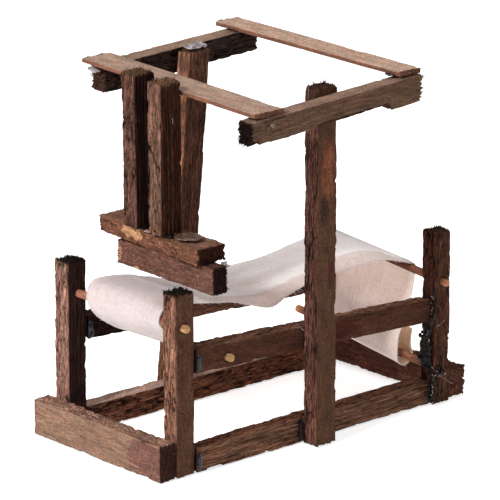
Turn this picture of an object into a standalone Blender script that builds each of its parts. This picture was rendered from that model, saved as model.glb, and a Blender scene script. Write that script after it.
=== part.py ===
"""Rustic miniature frame loom: rough sticks joined with hot glue, four rods and a strip of gauze.

Lengths below are in millimetres. X runs from the cloth-roll end to the warp end, Y from the
near side to the far side and Z up. The origin is the middle of the floor under the whole loom.
"""
import math
import random

import bmesh
import bpy
from mathutils import Matrix, Vector

MM = 0.001

# --- driving dimensions ---------------------------------------------------------------------
GAP = 0.35            # air left between two pieces that touch
WEAR = 0.22           # how far a rough corner may dip below the nominal face
THIN = 2.0            # across anything thinner than this, corners dip less
THIN_WEAR = 0.05
EDGE = 0.35           # rounded long edges of the sticks
ORIGIN = (58.94, 25.38, 0.0)   # middle of the whole loom on the floor

FRAME_LENGTH = 118.0
SILL_LENGTH = 55.3
SILL_WEAVER = (5.7, 10.9)     # width, height
SILL_WARP_NEAR = (7.1, 8.9)   # its section at the near end and at the far end
SILL_WARP_FAR = (7.1, 8.1)
SILL_WARP_SKEW = 0.3          # how much its far end leans inwards

POST_X = (9.3, 106.5)         # middles of the corner posts, weaver end and warp end
POST_TOP = 52.6
NEAR_Y = 2.4                  # middle of the near side frame
FAR_Y = 49.8                  # middle of the far side frame
RAIL_START = 13.15
RAIL_END_NEAR = 102.85
RAIL_END_FAR = 101.8
BASE_RAIL = (5.4, 7.5)        # thickness, height
MID_RAIL_HEIGHT = 7.2

TALL_TOP = 104.3
BEAM_THICK = 5.7
BEAM_HEIGHT = 6.8
SLAT_THICK = 1.2

BATTEN_BAR_TOP = 63.1
BATTEN_BAR_HEIGHT = 5.0
BATTEN_LOWER_TOP = 57.7       # just under the bar, which it is glued to

ROD_RADIUS = 1.2
ROD_SIDES = 24
ROD_TIP_BEVEL = 0.2
BORE_CLEARANCE = 0.06
BORE_OVERRUN = 4.0            # how far a bore's cutter runs past the rod's ends

CLOTH_THICK = 0.8
CLOTH_NEAR_Y = (8.2, 12.4)    # near edge at the cloth rod and at the warp rod
CLOTH_FAR_Y = (43.6, 43.6)
CLOTH_STEPS = 3               # mesh steps between two route points
WRAP_STEP = 24.0              # degrees between cloth points that lie round a rod


# --- small helpers ----------------------------------------------------------------------------
def clear_scene():
    """Start from an empty scene."""
    for obj in list(bpy.data.objects):
        bpy.data.objects.remove(obj, do_unlink=True)


def place(x, y, z):
    """A point of the loom, moved to the part's origin, in metres."""
    return Vector((x - ORIGIN[0], y - ORIGIN[1], z - ORIGIN[2])) * MM


def material(name, colour, roughness, transmission=0.0):
    """A plain material for one family of pieces."""
    mat = bpy.data.materials.new(name)
    mat.use_nodes = True
    shader = mat.node_tree.nodes["Principled BSDF"]
    shader.inputs["Base Color"].default_value = (*colour, 1.0)
    shader.inputs["Roughness"].default_value = roughness
    shader.inputs["Metallic"].default_value = 0.0
    shader.inputs["Transmission Weight"].default_value = transmission
    return mat


def add_object(name, bm, mat, origin=None):
    """Turn a bmesh in metres into an object, its origin moved to the given point."""
    bmesh.ops.recalc_face_normals(bm, faces=bm.faces)
    if origin is not None:
        bmesh.ops.translate(bm, verts=bm.verts, vec=-origin)
    mesh = bpy.data.meshes.new(name)
    bm.to_mesh(mesh)
    bm.free()
    obj = bpy.data.objects.new(name, mesh)
    if origin is not None:
        obj.location = origin
    obj.data.materials.append(mat)
    bpy.context.scene.collection.objects.link(obj)
    return obj


def shade_round(obj):
    """Smooth shading, with hard edges kept hard."""
    obj.data.shade_smooth()
    obj.data.set_sharp_from_angle(angle=math.radians(40))


# --- sticks -----------------------------------------------------------------------------------
AXES = {"x": (0, 1, 2), "y": (1, 0, 2), "z": (2, 0, 1)}


def stick(name, axis, ends, middle, size, mat, flat_floor=False, torn=(0.0, 0.0), stations=6):
    """One rough stick that runs along an axis.

    ends: where it starts and stops on its axis. middle and size: a pair for each end, the middle
    and the size of its section on the two other axes in the order x, y, z. Corners only ever
    wander inwards, so the nominal box bounds the stick. torn: how ragged each end is.
    """
    along, first, second = AXES[axis]
    rng = random.Random(name)
    bm = bmesh.new()
    rings = []
    for step in range(stations):
        part = step / (stations - 1)
        ring = []
        for side, level in ((-1, -1), (1, -1), (1, 1), (-1, 1)):
            point = [0.0, 0.0, 0.0]
            point[along] = ends[0] + (ends[1] - ends[0]) * part
            for other, where, sign in ((first, 0, side), (second, 1, level)):
                centre = middle[0][where] + (middle[1][where] - middle[0][where]) * part
                width = size[0][where] + (size[1][where] - size[0][where]) * part
                dip = rng.uniform(0.0, WEAR if width > THIN else THIN_WEAR)
                if flat_floor and other == 2 and sign < 0:
                    dip = 0.0
                point[other] = centre + sign * (width / 2 - dip)
            if step == 0:
                point[along] += rng.uniform(0.0, torn[0])
            if step == stations - 1:
                point[along] -= rng.uniform(0.0, torn[1])
            ring.append(bm.verts.new(place(*point)))
        rings.append(ring)
    for ring, after in zip(rings, rings[1:]):
        for corner in range(4):
            following = (corner + 1) % 4
            bm.faces.new((ring[corner], ring[following], after[following], after[corner]))
    bm.faces.new(rings[0])
    bm.faces.new(rings[-1])
    obj = add_object(name, bm, mat)
    edge = obj.modifiers.new("edge", "BEVEL")
    edge.width = min(EDGE, min(size[0] + size[1]) * 0.2) * MM
    edge.segments = 1
    return obj


def end_sills(mat):
    """The two sills across the ends, flat on the floor."""
    low_x = SILL_WEAVER[0] / 2
    stick("end_sill_weaver", "y", (0.0, SILL_LENGTH), ((low_x, SILL_WEAVER[1] / 2),) * 2,
          (SILL_WEAVER, SILL_WEAVER), mat, flat_floor=True)
    high_x = FRAME_LENGTH - SILL_WARP_NEAR[0] / 2
    stick("end_sill_warp", "y", (0.0, SILL_LENGTH),
          ((high_x, SILL_WARP_NEAR[1] / 2), (high_x - SILL_WARP_SKEW, SILL_WARP_FAR[1] / 2)),
          (SILL_WARP_NEAR, SILL_WARP_FAR), mat, flat_floor=True)


def corner_posts(mat):
    """Four posts on the inner side of the end sills, each leaning a little its own way."""
    leans = {
        "corner_post_weaver_near": (POST_X[0], NEAR_Y + 0.3, 6.8, 5.9, -0.2, 0.2, POST_TOP + 0.2),
        "corner_post_weaver_far": (POST_X[0] - 0.2, FAR_Y, 6.7, 6.4, 0.1, -0.1, POST_TOP),
        "corner_post_warp_near": (POST_X[1], NEAR_Y - 1.3, 6.5, 5.9, -0.1, 0.2, POST_TOP),
        "corner_post_warp_far": (POST_X[1] - 1.2, FAR_Y + 0.8, 6.2, 6.0, 0.4, 0.0, POST_TOP - 1.0),
    }
    posts = {}
    for name, (x, y, wide, deep, lean_x, lean_y, top) in leans.items():
        posts[name] = stick(name, "z", (0.0, top), ((x, y), (x + lean_x, y + lean_y)),
                            ((wide, deep),) * 2, mat, torn=(0.0, 1.2))
    return posts


def rails(mat):
    """The base rails on the floor and the mid rails that the cloth rod passes through."""
    near_span = (RAIL_START, RAIL_END_NEAR)
    far_span = (RAIL_START, RAIL_END_FAR)
    high = BASE_RAIL[1]
    stick("base_rail_near", "x", near_span, ((NEAR_Y - 0.1, high / 2), (NEAR_Y + 0.1, high / 2)),
          (BASE_RAIL, BASE_RAIL), mat, flat_floor=True)
    stick("base_rail_far", "x", far_span, ((FAR_Y, high / 2),) * 2, (BASE_RAIL,) * 2, mat,
          flat_floor=True)
    near = stick("mid_rail_near", "x", near_span, ((3.1, 32.5), (1.9, 28.75)),
                 ((6.9, MID_RAIL_HEIGHT), (4.7, MID_RAIL_HEIGHT)), mat, torn=(0.4, 0.2))
    far = stick("mid_rail_far", "x", far_span, ((FAR_Y - 0.6, 31.2), (FAR_Y - 0.5, 27.4)),
                ((5.8, MID_RAIL_HEIGHT),) * 2, mat, torn=(0.4, 0.6))
    return near, far


def tall_posts(mat):
    """The two posts outside the rails that carry the top frame."""
    stick("tall_post_near", "z", (0.0, TALL_TOP), ((56.0, -3.8), (55.75, -3.75)),
          ((7.8, 5.8), (7.5, 5.7)), mat, torn=(0.0, 1.0), stations=8)
    stick("tall_post_far", "z", (0.0, TALL_TOP - 0.6), ((52.6, 56.1), (58.8, 53.45)),
          ((8.3, 5.8), (8.1, 5.3)), mat, torn=(0.0, 1.0), stations=8)


def top_frame(beam_mat, slat_mat):
    """Two thick beams on the outer faces of the tall posts, and two slats laid across them."""
    drop = BEAM_HEIGHT / 2
    stick("top_beam_near", "x", (21.9, 86.4), ((-10.15, 100.6 - drop), (-9.9, 104.3 - drop)),
          ((BEAM_THICK, BEAM_HEIGHT),) * 2, beam_mat, torn=(0.8, 1.0))
    stick("top_beam_far", "x", (27.6, 87.0), ((59.75, 103.0 - drop - 0.6), (60.4, 105.45 - drop)),
          ((6.5, BEAM_HEIGHT + 1.2), (6.5, BEAM_HEIGHT)), beam_mat, torn=(1.8, 1.0))
    half = SLAT_THICK / 2
    stick("top_slat_weaver", "y", (-12.4, 62.4), ((28.8, 102.75 - half), (29.85, 105.05 - half)),
          ((10.7, SLAT_THICK),) * 2, slat_mat, torn=(0.3, 0.5))
    stick("top_slat_warp", "y", (-12.1, 65.5), ((81.7, 105.85 - half), (81.95, 107.25 - half)),
          ((8.8, SLAT_THICK), (9.1, SLAT_THICK)), slat_mat, torn=(0.3, 0.9))


def batten(mat):
    """Two uprights against the outer edge of the weaver-end slat, and the two bars they carry."""
    foot = BATTEN_BAR_TOP + GAP
    bar_z = BATTEN_BAR_TOP - BATTEN_BAR_HEIGHT / 2
    stick("batten_upright_near", "z", (foot, 106.8), ((19.5, 20.3), (19.45, 20.5)),
          ((7.6, 5.9), (7.6, 6.0)), mat, torn=(0.0, 0.9))
    stick("batten_upright_far", "z", (foot, 107.8), ((19.6, 31.0), (19.55, 31.9)),
          ((7.6, 6.2), (7.6, 6.0)), mat, torn=(0.0, 0.9))
    stick("batten_bar", "y", (3.0, 48.8), ((21.5, bar_z), (23.9, bar_z)),
          ((10.5, BATTEN_BAR_HEIGHT), (9.4, BATTEN_BAR_HEIGHT)), mat, torn=(0.5, 0.5))
    stick("batten_lower_bar", "y", (-1.4, 39.5),
          ((20.9, BATTEN_LOWER_TOP - 3.7), (20.2, BATTEN_LOWER_TOP - 3.3)),
          ((5.4, 7.4), (5.0, 6.6)), mat, torn=(0.4, 0.9))


# --- rods and their bores ---------------------------------------------------------------------
RODS = {
    "breast_rod": ((8.5, -1.9, 43.05), (10.0, 54.4, 41.9)),
    "cloth_rod": ((24.5, -2.1, 31.5), (23.9, 53.9, 30.4)),
    "back_rod": ((106.5, -3.4, 36.9), (106.4, 55.0, 42.4)),
    "warp_rod": ((105.0, -1.6, 10.8), (104.6, 58.6, 15.4)),
}


def rod_centre(name, y):
    """The x and z of a rod's axis where it crosses the plane at y."""
    start, end = RODS[name]
    part = (y - start[1]) / (end[1] - start[1])
    return (start[0] + (end[0] - start[0]) * part, start[2] + (end[2] - start[2]) * part)


def round_bar(name, start, end, radius, mat, sides=ROD_SIDES):
    """A round bar with its origin at its middle and its local Z along its own axis."""
    low = place(*start)
    high = place(*end)
    bm = bmesh.new()
    bmesh.ops.create_cone(bm, cap_ends=True, segments=sides, radius1=radius * MM,
                          radius2=radius * MM, depth=(high - low).length)
    obj = add_object(name, bm, mat)
    obj.rotation_mode = "QUATERNION"
    obj.rotation_quaternion = Vector((0, 0, 1)).rotation_difference(high - low)
    obj.location = (low + high) / 2
    return obj


def rods(mat):
    """The four rods, their sharp end edges broken a little."""
    for name, (start, end) in RODS.items():
        bar = round_bar(name, start, end, ROD_RADIUS, mat)
        tip = bar.modifiers.new("tip", "BEVEL")
        tip.width = ROD_TIP_BEVEL * MM
        tip.segments = 1
        tip.limit_method = "ANGLE"
        tip.angle_limit = math.radians(50)
        shade_round(bar)


def drill(target, rod):
    """Bore a stick along a rod, a little wider than the rod."""
    start = Vector(RODS[rod][0])
    end = Vector(RODS[rod][1])
    reach = (end - start).normalized() * BORE_OVERRUN
    radius = (ROD_RADIUS + BORE_CLEARANCE) / math.cos(math.pi / ROD_SIDES)
    cutter = round_bar(f"bore_{rod}_{target.name}", start - reach, end + reach, radius,
                       target.data.materials[0])
    cutter.hide_render = True
    cutter.display_type = "WIRE"
    cut = target.modifiers.new(f"bore_{rod}", "BOOLEAN")
    cut.operation = "DIFFERENCE"
    cut.solver = "EXACT"
    cut.object = cutter


# --- cloth ------------------------------------------------------------------------------------
# free stretches of the strip as (x, z) on its near edge and on its far edge
RISE = (((19.2, 34.0), (19.2, 31.8)), ((12.6, 37.6), (12.6, 36.0)))
TOP = (((13.4, 46.1), (15.2, 46.6)), ((20.7, 45.6), (24.5, 45.2)), ((33.4, 43.1), (34.0, 42.7)),
       ((41.7, 40.8), (43.5, 41.2)), ((48.6, 39.2), (52.0, 40.4)), ((56.5, 40.5), (61.5, 39.9)),
       ((64.5, 42.4), (71.0, 39.8)), ((74.5, 43.3), (80.0, 40.5)), ((86.0, 43.6), (89.0, 41.8)),
       ((97.5, 42.6), (98.5, 43.1)))
DROP = (((107.0, 30.8), (107.4, 33.0)), ((104.2, 23.0), (104.6, 26.0)), ((101.9, 16.5), (102.2, 19.6)))
TAIL = (((107.3, 14.0), (107.4, 18.0)), ((107.7, 16.6), (108.2, 22.0)), ((108.4, 19.0), (108.8, 25.0)))


def wrap(rod, y, start_deg, end_deg):
    """Points round a rod, from one angle to the next, one cloth thickness off its skin."""
    radius = ROD_RADIUS + GAP + CLOTH_THICK / 2
    steps = max(2, round(abs(end_deg - start_deg) / WRAP_STEP))
    x, z = rod_centre(rod, y)
    points = []
    for step in range(steps + 1):
        part = step / steps
        angle = math.radians(start_deg + (end_deg - start_deg) * part)
        points.append((x + radius * math.cos(angle), z + radius * math.sin(angle)))
    return points


def smooth(points, steps):
    """A Catmull-Rom curve through the points, without its first and last point."""
    out = []
    for before, here, there, after in zip(points, points[1:], points[2:], points[3:]):
        for step in range(steps):
            t = step / steps
            out.append(tuple(
                0.5 * (2 * q + (r - p) * t + (2 * p - 5 * q + 4 * r - s) * t * t
                       + (3 * q - p - 3 * r + s) * t ** 3)
                for p, q, r, s in zip(before, here, there, after)))
    return out[1:]


def cloth_route(side, y_left, y_right):
    """The strip from the cloth rod, round the breast rod, over the back rod, to the warp rod."""
    first = wrap("cloth_rod", y_left, 20.0, -150.0)
    breast = wrap("breast_rod", y_left, 215.0, 110.0)
    back = wrap("back_rod", y_right, 105.0, 5.0)
    last = wrap("warp_rod", y_right, 172.0, 360.0)
    rise = [pair[side] for pair in RISE]
    top = [pair[side] for pair in TOP]
    drop = [pair[side] for pair in DROP]
    tail = [pair[side] for pair in TAIL]
    route = list(first)
    route += smooth([first[-2], first[-1], *rise, breast[0], breast[1]], CLOTH_STEPS)
    route += breast
    route += smooth([breast[-2], breast[-1], *top, back[0], back[1]], CLOTH_STEPS)
    route += back
    route += smooth([back[-2], back[-1], *drop, last[0], last[1]], CLOTH_STEPS)
    route += last
    route += smooth([last[-2], last[-1], *tail], CLOTH_STEPS)
    return route


def cloth(mat):
    """The gauze strip as one closed ribbon."""
    near = cloth_route(0, *CLOTH_NEAR_Y)
    far = cloth_route(1, *CLOTH_FAR_Y)
    bm = bmesh.new()
    rows = []
    for index, (low, high) in enumerate(zip(near, far)):
        part = index / len(near)
        y_near = CLOTH_NEAR_Y[0] + (CLOTH_NEAR_Y[1] - CLOTH_NEAR_Y[0]) * part
        y_far = CLOTH_FAR_Y[0] + (CLOTH_FAR_Y[1] - CLOTH_FAR_Y[0]) * part
        rows.append((bm.verts.new(place(low[0], y_near, low[1])),
                     bm.verts.new(place(high[0], y_far, high[1]))))
    for row, after in zip(rows, rows[1:]):
        bm.faces.new((row[0], after[0], after[1], row[1]))
    obj = add_object("cloth_strip", bm, mat)
    body = obj.modifiers.new("body", "SOLIDIFY")
    body.thickness = CLOTH_THICK * MM
    body.offset = 0.0
    body.use_even_offset = True
    return obj


# --- hot glue ---------------------------------------------------------------------------------
GLUE = {
    "glue_weaver_far_mid": ((12.7, 44.9, 31.2), (1.3, 0.9, 3.2)),
    "glue_weaver_near_mid": ((12.9, -1.6, 32.6), (1.0, 0.7, 3.0)),
    "glue_weaver_near_base": ((13.0, -1.6, 4.0), (1.0, 0.6, 3.2)),
    "glue_tall_near_base": ((50.9, -1.6, 4.2), (0.8, 0.8, 3.4)),
    "glue_warp_near_side": ((102.0, 0.9, 17.5), (0.7, 2.4, 6.6)),
    "glue_warp_near_foot": ((101.9, -1.6, 4.2), (0.9, 0.7, 3.6)),
    "glue_tall_far_top": ((58.9, 53.4, 104.8), (4.0, 2.5, 0.7)),
    "glue_slat_weaver_near": ((28.7, -13.9, 99.2), (2.0, 0.6, 1.2)),
    "glue_slat_weaver_far": ((26.7, 59.5, 101.9), (1.4, 3.0, 1.3)),
    "glue_slat_warp_near": ((76.7, -9.0, 104.9), (0.8, 1.8, 0.6)),
    "glue_batten_heads": ((21.9, 26.0, 103.0), (1.4, 1.9, 2.4)),
    "glue_batten_foot": ((21.6, 25.6, 64.2), (3.2, 1.6, 0.7)),
    "glue_batten_puddle": ((21.0, 12.2, 63.9), (3.6, 3.8, 0.45)),
    "glue_batten_bars": ((24.9, 1.2, 57.6), (1.0, 1.6, 1.5)),
}


def glue(mat):
    """Set drops of hot glue, each one flattened ball."""
    for name, (middle, radii) in GLUE.items():
        bm = bmesh.new()
        bmesh.ops.create_icosphere(bm, subdivisions=2, radius=1.0)
        bmesh.ops.transform(bm, matrix=Matrix.Diagonal((*[r * MM for r in radii], 1.0)),
                            verts=bm.verts)
        bmesh.ops.translate(bm, vec=place(*middle), verts=bm.verts)
        shade_round(add_object(name, bm, mat))


def build():
    """The whole loom."""
    clear_scene()
    rough_wood = material("rough_stained_wood", (0.085, 0.05, 0.035), 0.85)
    beam_wood = material("beam_wood", (0.13, 0.085, 0.055), 0.8)
    slat_wood = material("slat_wood", (0.34, 0.22, 0.15), 0.75)
    rod_wood = material("rod_wood", (0.17, 0.08, 0.05), 0.65)
    gauze = material("gauze", (0.78, 0.70, 0.66), 0.95)
    hot_glue = material("hot_glue", (0.62, 0.62, 0.6), 0.15, transmission=0.5)

    end_sills(rough_wood)
    posts = corner_posts(rough_wood)
    mid_near, mid_far = rails(rough_wood)
    tall_posts(rough_wood)
    top_frame(beam_wood, slat_wood)
    batten(rough_wood)
    rods(rod_wood)
    drill(posts["corner_post_weaver_near"], "breast_rod")
    drill(posts["corner_post_weaver_far"], "breast_rod")
    drill(mid_near, "cloth_rod")
    drill(mid_far, "cloth_rod")
    for rod in ("back_rod", "warp_rod"):
        drill(posts["corner_post_warp_near"], rod)
        drill(posts["corner_post_warp_far"], rod)
    cloth(gauze)
    glue(hot_glue)


build()
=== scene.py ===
"""Looks of the rustic miniature frame loom: rough split and sawn sticks, skewer rods, a strip of
gauze and set hot glue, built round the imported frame.

Lengths are in millimetres in the row frame unless a name says otherwise. Meshes are made in
millimetres and scaled to metres as they are turned into objects. "seed + 7" and the like pick one
of many noise fields: such numbers only have to differ.
"""
import itertools
import math
import random

import bmesh
import bpy
import numpy as np
from mathutils import Matrix, Vector


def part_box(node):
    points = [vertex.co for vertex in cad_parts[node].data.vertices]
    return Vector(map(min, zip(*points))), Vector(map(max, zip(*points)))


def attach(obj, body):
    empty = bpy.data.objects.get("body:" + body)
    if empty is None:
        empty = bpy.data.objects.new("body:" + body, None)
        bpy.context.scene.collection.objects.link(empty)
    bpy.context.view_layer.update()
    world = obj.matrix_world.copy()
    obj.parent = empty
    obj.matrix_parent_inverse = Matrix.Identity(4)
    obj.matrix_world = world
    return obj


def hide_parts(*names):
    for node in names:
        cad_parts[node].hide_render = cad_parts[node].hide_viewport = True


MM = 0.001
LAYOUT = np.array((58.94, 25.38, 0.0))   # the row frame's origin, in the layout

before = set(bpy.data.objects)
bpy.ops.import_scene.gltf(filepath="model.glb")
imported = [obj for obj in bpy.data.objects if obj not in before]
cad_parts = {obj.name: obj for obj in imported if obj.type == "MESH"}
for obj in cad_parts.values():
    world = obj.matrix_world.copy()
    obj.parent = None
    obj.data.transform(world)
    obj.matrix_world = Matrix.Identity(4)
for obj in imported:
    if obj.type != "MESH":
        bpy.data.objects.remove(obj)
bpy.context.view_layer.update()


# --- numbers and noise --------------------------------------------------------------------------
def at(x, y, z):
    """A point of the layout, moved to the row frame."""
    return np.array((x, y, z), float) - LAYOUT


def unit(vector):
    return vector / np.linalg.norm(vector)


def square_to(direction, hint):
    """Two unit directions square to a unit direction and to each other."""
    across = unit(np.cross(direction, hint))
    return across, np.cross(direction, across)


def blend(a, b, share):
    return a * (1 - share) + b * share


def scatter(rng, low, high):
    """Three random numbers."""
    return np.array([rng.uniform(low, high) for _ in range(3)])


def axis_distance(points, low, high):
    """How far points lie from the line through two others."""
    along = unit(high - low)
    away = points - low
    return np.linalg.norm(away - (away @ along)[..., None] * along, axis=-1)


def srgb(red, green, blue):
    """A colour as it looks on a screen, 0 to 255, as linear light."""
    part = np.array((red, green, blue), float) / 255.0
    return np.where(part <= 0.04045, part / 12.92, ((part + 0.055) / 1.055) ** 2.4)


def step_up(value, low, high):
    """0 below low, 1 above high, smooth between."""
    part = np.clip((value - low) / (high - low), 0.0, 1.0)
    return part * part * (3.0 - 2.0 * part)


def lattice(ix, iy, iz, seed):
    """A fixed random number from 0 to 1 for each whole-number point."""
    mask = 0xFFFFFFFF
    mixed = (ix * 73856093) ^ (iy * 19349663) ^ (iz * 83492791) ^ (seed * 2654435761)
    mixed = mixed & mask
    mixed = ((mixed ^ (mixed >> 15)) * 2246822519) & mask
    mixed = ((mixed ^ (mixed >> 13)) * 3266489917) & mask
    return ((mixed ^ (mixed >> 16)) & mask) / mask


def noise(x, y, z, seed):
    """Smooth value noise from 0 to 1."""
    places = np.broadcast_arrays(*[np.asarray(v, float) for v in (x, y, z)])
    base = [np.floor(v).astype(np.int64) for v in places]
    ease = [step_up(v - b, 0.0, 1.0) for v, b in zip(places, base)]
    total = np.zeros(places[0].shape)
    for corner in itertools.product((0, 1), repeat=3):
        weight = math.prod(e if up else 1.0 - e for e, up in zip(ease, corner))
        total += weight * lattice(*[b + up for b, up in zip(base, corner)], seed)
    return total


def sway(x, y, z, seed, reach):
    """Smooth noise round zero, so far from its lowest to its highest."""
    return (noise(x, y, z, seed) - 0.5) * reach


# --- meshes from arrays -------------------------------------------------------------------------
def add_object(name, data):
    obj = bpy.data.objects.new(name, data)
    bpy.context.scene.collection.objects.link(obj)
    return obj


class Parts:
    """Closed bodies gathered into one mesh, with the numbers that their material reads."""

    def __init__(self):
        self.points = []
        self.faces = []
        self.layers = {"tint": [], "grain": [], "marks": []}
        self.count = 0

    def add(self, points, faces, tint, grain, marks=(0.0, 0.0, 0.0)):
        """marks is how much painted shade a recess gets and how sawn, each 0 to 1 (the shade mark dips
        below 0 where a painted highlight sits), and a number that nothing reads.
        """
        self.points.append(points)
        self.faces.extend([tuple(i + self.count for i in corners) for corners in faces])
        for rows, layer in zip((tint, grain, marks), self.layers.values()):
            layer.append(np.broadcast_to(rows, (len(points), 3)))
        self.count += len(points)

    def to_object(self, name, material):
        mesh = bpy.data.meshes.new(name)
        mesh.from_pydata((np.concatenate(self.points) * MM).tolist(), [], self.faces)
        for label, rows in self.layers.items():
            layer = mesh.attributes.new(label, "FLOAT_VECTOR", "POINT")
            layer.data.foreach_set("vector", np.concatenate(rows).astype(np.float32).ravel())
        bm = bmesh.new()
        bm.from_mesh(mesh)
        bmesh.ops.recalc_face_normals(bm, faces=bm.faces)
        bm.to_mesh(mesh)
        bm.free()
        mesh.materials.append(material)
        mesh.shade_smooth()
        return add_object(name, mesh)


def with_modifiers(obj):
    """The object's mesh as its modifiers make it. The modifiers are then taken away."""
    graph = bpy.context.evaluated_depsgraph_get()
    mesh = bpy.data.meshes.new_from_object(obj.evaluated_get(graph))
    obj.modifiers.clear()
    mesh.shade_smooth()
    return mesh


def circle(middle, radius, across, other, sides):
    angles = [2 * math.pi * side / sides for side in range(sides)]
    return [middle + radius * (across * math.cos(angle) + other * math.sin(angle)) for angle in angles]


def bridge(before, after, sides):
    """Quads between two rings of points, each given by the number of its first point."""
    return [(before + side, before + (side + 1) % sides, after + (side + 1) % sides, after + side)
            for side in range(sides)]


def skin(rings, sides):
    """Quads along rings of points that follow each other."""
    return [quad for ring in range(rings - 1)
            for quad in bridge(ring * sides, (ring + 1) * sides, sides)]


def fan(ring, tip, sides):
    """Triangles from a ring of points to one point."""
    return [(ring + side, ring + (side + 1) % sides, tip) for side in range(sides)]


HAIR_SIDES = 3
HAIR_JOINTS = 3


def hair(parts, start, direction, length, width, tint, rng, bend, dark=0.2):
    """One thin tapering fibre."""
    start = np.array(start)
    direction = unit(np.array(direction, float))
    across, other = square_to(direction, (0.31, 0.57, 0.76))
    lean = (across * rng.uniform(-1, 1) + other * rng.uniform(-1, 1)) * bend * length
    points = []
    for part in (joint / HAIR_JOINTS for joint in range(HAIR_JOINTS)):
        middle = start + direction * length * part + lean * part * part
        points += circle(middle, width * (1.0 - 0.6 * part), across, other, HAIR_SIDES)
    faces = [tuple(range(HAIR_SIDES))] + skin(HAIR_JOINTS, HAIR_SIDES)
    faces += fan((HAIR_JOINTS - 1) * HAIR_SIDES, len(points), HAIR_SIDES)
    points = np.array(points + [start + direction * length + lean])
    points[:, 2] = np.maximum(points[:, 2], 0.0)
    parts.add(points, faces, tint, points, (dark, 0.0, 0.0))


# --- sticks -------------------------------------------------------------------------------------
AXES = {"x": (0, 1, 2), "y": (1, 0, 2), "z": (2, 0, 1)}   # the long axis and the two cross axes
PITCH = 0.22          # mesh pitch round a stick
LONG_PITCH = 0.33     # and along it
CAP_RINGS = 7
STATIONS = 6          # sections measured along a CAD stick
SKIN = 0.05           # a stick's mean skin lies this far outside its CAD solid
LONG_TEETH = 1.2      # an end torn deeper than this has long teeth
FIBRE_DENSITY = 120   # loose fibres at a torn end
NEAR_FLOOR = 2.0      # fibres lower than this don't point down
GRAIN_SHIFTS = 97     # each stick's grain starts at a place of its own
BLACK_END = (38, 26, 22)
DARK_END = (66, 38, 30)


def face(*colour, rough=0.3, pits=0.0, ribs=0.0, rib_pitch=1.1, grit=0.0, sawn=0.0):
    """How one side of a stick is finished. Depths are in millimetres."""
    return {"colour": srgb(*colour), "rough": rough, "pits": pits, "ribs": ribs,
            "rib_pitch": rib_pitch, "grit": grit, "sawn": sawn}


def bark(*colour, rough=0.65, pits=0.6):
    return face(*colour, rough=rough, pits=pits)


def sawn(*colour, rough=0.1):
    return face(*colour, rough=rough, pits=0.05, sawn=1.0)


def torn_across(*colour):
    return face(*colour, rough=0.2, pits=0.25, grit=0.8)


def ribbed(*colour, depth=0.45, pitch=1.15):
    return face(*colour, rough=0.22, pits=0.1, ribs=depth, rib_pitch=pitch)


def node_points(node):
    """The corner points of a CAD solid."""
    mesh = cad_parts[node].data
    flat = np.empty(len(mesh.vertices) * 3, np.float32)
    mesh.vertices.foreach_get("co", flat)
    return flat.reshape(-1, 3).astype(float) / MM


def straight_sides(node, axis):
    """Where a CAD stick starts and stops, and the four straight lines that its sides follow."""
    points = node_points(node)
    along, first, second = AXES[axis]
    v = points[:, along]
    start, stop = v.min(), v.max()
    step = (stop - start) / (STATIONS - 1)
    rows = []
    for index in range(STATIONS):
        here = points[np.abs(v - start - step * index) < step * 0.3]
        rows.append((start + step * index, here[:, first].min(), here[:, first].max(),
                     here[:, second].min(), here[:, second].max()))
    rows = np.array(rows)
    return start, stop, [np.polyfit(rows[:, 0], rows[:, column], 1) for column in (1, 2, 3, 4)]


def ring_places(wide, deep):
    """Points round a square section as -1 to 1 on both axes."""
    run_b, run_c = [np.linspace(-1, 1, max(4, round(size / PITCH)), endpoint=False)
                    for size in (wide, deep)]
    edge_b, edge_c = np.ones(len(run_b)), np.ones(len(run_c))
    return (np.concatenate((run_b, edge_c, -run_b, -edge_c)),
            np.concatenate((-edge_b, run_c, edge_b, -run_c)))


def rounded(b, c, half_b, half_c, radius):
    """Round the corners of a section. Gives the places and the outward direction."""
    place = np.stack((b, c))
    half = np.stack((half_b + 0 * b, half_c + 0 * c))
    over = np.maximum(np.abs(place) - (half - radius), 0.0)
    corner = (over > 0).all(axis=0)
    reach = np.where(corner, np.hypot(*over), 1.0)
    on_b = np.abs(b) / half_b >= np.abs(c) / half_c
    flat = np.where(np.stack((on_b, ~on_b)), np.sign(place), 0.0)
    new_b, new_c = np.where(corner, np.sign(place) * (half - radius + over * radius / reach), place)
    out_b, out_c = np.where(corner, np.sign(place) * over / reach, flat)
    return new_b, new_c, out_b, out_c


def blend_faces(faces, out_b, out_c):
    """Each side's finish, mixed at the corners. faces is (low b, high b, low c, high c)."""
    shares = [np.maximum(out, 0) ** 2 for out in (-out_b, out_b, -out_c, out_c)]
    total = sum(shares)
    shares = [share / total for share in shares]
    mixed = {key: sum(share * side[key] for share, side in zip(shares, faces))
             for key in ("rough", "pits", "ribs", "rib_pitch", "grit", "sawn")}
    mixed["colour"] = sum(share[..., None] * side["colour"] for share, side in zip(shares, faces))
    return mixed


def chip(b, c, v, half_b, half_c, corner, span, size):
    """Break a strip out of one long edge, which leaves a square step. Gives the new places and
    how much each point belongs to the step."""
    side_b, side_c = corner
    from_b = half_b - side_b * b
    from_c = half_c - side_c * c
    share = step_up(v, span[0], span[0] + 0.5) * (1.0 - step_up(v, span[1] - 0.5, span[1]))
    share = np.where((from_b < size) & (from_c < size), share, 0.0)
    new_b = side_b * (half_b - (size - from_c))
    new_c = side_c * (half_c - (size - from_b))
    return b + (new_b - b) * share, c + (new_c - c) * share, share


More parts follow.
